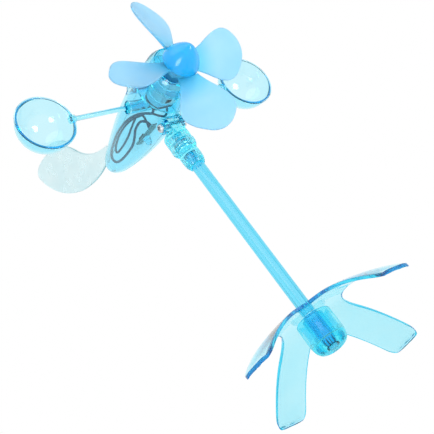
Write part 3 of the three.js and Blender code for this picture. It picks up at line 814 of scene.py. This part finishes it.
def leads():
    for node, (radius, route) in LEADS.items():
        piece(f"{node}_sleeve", cord_mesh(route, radius), HEAD, "head", "lead", node)
    corners = [(-2.5, -13.6), (-2.1, -14), (2.1, -14), (2.5, -13.6), (2.5, 13.6), (2.1, 14), (-2.1, 14),
               (-2.5, 13.6)]
    outline = resampled(np.array(corners, float), 1.0)
    board = plate([outline], lambda x, y: 0.6, lambda x, y: -0.6, 0.12, 1.2)
    slope = Matrix.Rotation(math.radians(BOARD_SLOPE), 4, "X")
    board.transform(Matrix.Translation(BOARD_AT) @ slope)
    piece("circuit_board", board, HEAD, "head", "board", "lamp_board")
    for i, (x, y) in enumerate(((0.6, 12.6), (1.6, 17.8))):
        piece(f"solder_{i}", solder_drop(x, y, -9.6 + 0.137 * (y - 23) + 0.75), HEAD, "head", "solder")
    resistor = turned([(0, -3.2), (0.9, -3.2), (1.1, -2.4), (0.85, -1.6), (0.85, 1.6), (1.1, 2.4), (0.9, 3.2),
                       (0, 3.2)], "y", 32, 0.3)
    resistor.transform(Matrix.Translation((1.5, 30, -6.7)) @ slope)
    piece("resistor", resistor, HEAD, "head", "dark")
    lens = turned([
        (0, -16.6), (0.9, -16.45), (1.7, -16), (2.3, -15.2), (2.5, -14.2), (2.5, -11.8), (2.9, -11.8),
        (2.9, -10.7), (0, -10.7),
    ], "z", 48, 0.25, (1.5, 25.5, 0))
    piece("lamp_lens", lens, HEAD, "head", "clear", "lamp")


# ---------------------------------------------------------------- rotor

BLADE = np.array([
    (-6, 9), (-7.6, 14), (-10.4, 20), (-14.5, 27), (-17.7, 34), (-18.8, 40), (-17.4, 45), (-14.2, 49),
    (-10, 52.2), (-4, 54), (2.5, 52.8), (8.4, 49), (13, 45), (16.2, 40), (16.8, 34), (14, 27), (10, 20),
    (7.2, 14), (6, 9),
], float)


def blade(turn):
    """One blade: a plate in (chord, radius) wrapped onto its twist and camber."""
    outline = spline(BLADE[::-1], 110)
    outline = outline[np.linalg.norm(outline - np.roll(outline, 1, axis=0), axis=1) > 1e-6]
    outline = resampled(outline, 1.3)
    sheet = plate([outline], lambda x, y: 0.8, lambda x, y: -0.8, 0.6, 1.8)
    for vertex in sheet.vertices:
        chord, radius, lift = vertex.co
        twist = math.radians(33 - 10 * radius / BLADE_R)
        share = min(max((chord + 19) / 36, 0), 1)
        rise = lift * (1.1 - 0.35 * radius / BLADE_R) - 1.4 * math.sin(math.pi * share) * radius / BLADE_R
        across = chord * math.cos(twist) + rise * math.sin(twist)
        along = chord * math.sin(twist) - rise * math.cos(twist)
        vertex.co = (across, along + HUB_Y, radius)
    sheet.transform(Matrix.Translation((0, 0, ROTOR_Z)) @ Matrix.Rotation(turn, 4, "Y"))
    fix = bmesh.new()
    fix.from_mesh(sheet)
    bmesh.ops.recalc_face_normals(fix, faces=fix.faces)
    fix.to_mesh(sheet)
    fix.free()
    return sheet


def rotor():
    at = (0, 0, ROTOR_Z)
    hub = turned([(0, HUB_Y + 4), (6, HUB_Y + 4), (HUB_R, HUB_Y + 2.8), (HUB_R, HUB_Y - 2), (0, HUB_Y - 2)],
                 "y", 96, 0.8, at)
    steps = [("UNION", blade(i * math.pi / 2)) for i in range(4)]
    steps.append(("DIFFERENCE", rod(13.2, HUB_Y - 20, HUB_Y - 2, "y", at=at, sides=96)))
    steps.append(("DIFFERENCE", rod(1.3, -70, -20, "y", at=at)))
    piece("blades", carved(hub, *steps), HEAD, "rotor", "blade", "rotor")
    base = HUB_Y - 2 - GAP
    skin, hollow = [], []
    for share in np.sin(np.linspace(0, math.pi / 2, 30)):
        full = (1 - share ** 1.5) ** 0.75
        skin.append((SPINNER_R * full, base - SPINNER_LONG * share))
        hollow.insert(0, ((SPINNER_R - 1.6) * full, base - (SPINNER_LONG - 1.8) * share))
    piece("nose_dome", turned([*skin, *hollow], "y", 96, at=at), HEAD, "rotor", "spinner", "spinner")


# ---------------------------------------------------------------- arms, cups and fin

def cup_and_arm(side, name):
    """A round cup with a lip and a knob, and its arm. Side is -1 on the left and 1 on the right."""
    rim, hollow_r = -2, CUP_R - CUP_WALL
    angles = np.linspace(0, math.pi / 2, 26)
    outer = [(CUP_R * math.cos(a), rim + CUP_R * math.sin(a)) for a in angles]
    inner = [(hollow_r * math.cos(a), rim + hollow_r * math.sin(a)) for a in reversed(angles)]
    outer[-1], inner[0] = (0, outer[-1][1]), (0, inner[0][1])
    lip = softened([(hollow_r, rim - 1), (CUP_R + 0.7, rim - 1), (CUP_R + 0.7, rim + 0.4),
                    (CUP_R - 0.2, rim + 0.6)], 0.5)[:-5]
    bowl = turned([*outer, *inner, *lip], "y", 120)
    knob = turned([(0, CUP_R - 0.8), (2.9, CUP_R - 0.8), (2.9, CUP_R + 2.6), (0, CUP_R + 2.6)], "x", 48, 0.6)
    bore = rod(ARM_R + GAP, CUP_R + 0.7, CUP_R + 5, "x")
    cup = carved(bowl, ("UNION", knob), ("DIFFERENCE", bore))
    if side > 0:
        cup.transform(Matrix.Scale(-1, 4, (1, 0, 0)))
        cup.flip_normals()
    cup.transform(Matrix.Translation((side * CUP_X, 0, 0)))
    piece(f"wind_cup_{name}", cup, HEAD, f"{name}_cup", "cup", f"cup_{name}")
    ends = sorted((side * ARM_INNER, side * (CUP_X - CUP_R - 1)))
    piece(f"cross_rod_{name}", rod(ARM_R, *ends, "x", 0.3), HEAD, f"{name}_cup", "clear", f"arm_{name}")


def sleeve():
    tube = turned([(ARM_R + GAP, -SLEEVE_HALF), (SLEEVE_R, -SLEEVE_HALF), (SLEEVE_R, SLEEVE_HALF),
                   (ARM_R + GAP, SLEEVE_HALF)], "x", 64, 0.5)
    piece("cross_tube", tube, HEAD, "head", "deep", "arm_sleeve")


def fin_outline():
    """The fin's edge in (y, z)."""
    curves = [
        ((72, 16.5), (100, 24), (112, 42)), ((112, 42), (127, 63), (152, 67)),
        ((152, 67), (181, 73), (180, 62)), ((180, 62), (168, 33), (132, 16.5)),
        ((132, 16.5), (108, 7), (88, 7.6)),
    ]
    out = [(79, 8), (64.5, 8)]
    for a, b, c in curves:
        a, b, c = np.array(a, float), np.array(b, float), np.array(c, float)
        out += [(1 - t) ** 2 * a + 2 * t * (1 - t) * b + t * t * c for t in np.linspace(0, 1, 17)[:-1]]
    out.append(np.array((88, 7.6)))
    return resampled(np.array(out, float)[::-1], 1.6)


def tail_fin():
    half = FIN_THICK / 2
    sheet = plate([fin_outline()], lambda x, y: half, lambda x, y: -half, 0.45, 2.4)
    sheet.transform(Matrix(((0, 0, 1, 0), (1, 0, 0, 0), (0, 1, 0, 0), (0, 0, 0, 1))))
    piece("tail_leaf", sheet, HEAD, "head", "fin", "tail_fin")


def main():
    camera()
    white_world()
    disc_light("front", (0.31, -1.06, -0.33), (0, 0, 0.2), 0.55, 6)
    disc_light("side", (-1.0, -0.42, -0.35), (0, 0, 0.2), 0.5, 4)
    disc_light("above", (-0.6, -0.9, 1.1), (0, 0, 0.2), 1.6, 6)
    floor()
    bpy.context.scene.view_settings.view_transform = "Standard"
    cycles = bpy.context.scene.cycles
    cycles.max_bounces = cycles.transmission_bounces = cycles.glossy_bounces = LIGHT_BOUNCES
    stand()
    mast()
    collar()
    pod()
    screws()
    motor()
    leads()
    rotor()
    sleeve()
    for side, name in ((-1, "left"), (1, "right")):
        cup_and_arm(side, name)
    tail_fin()


main()
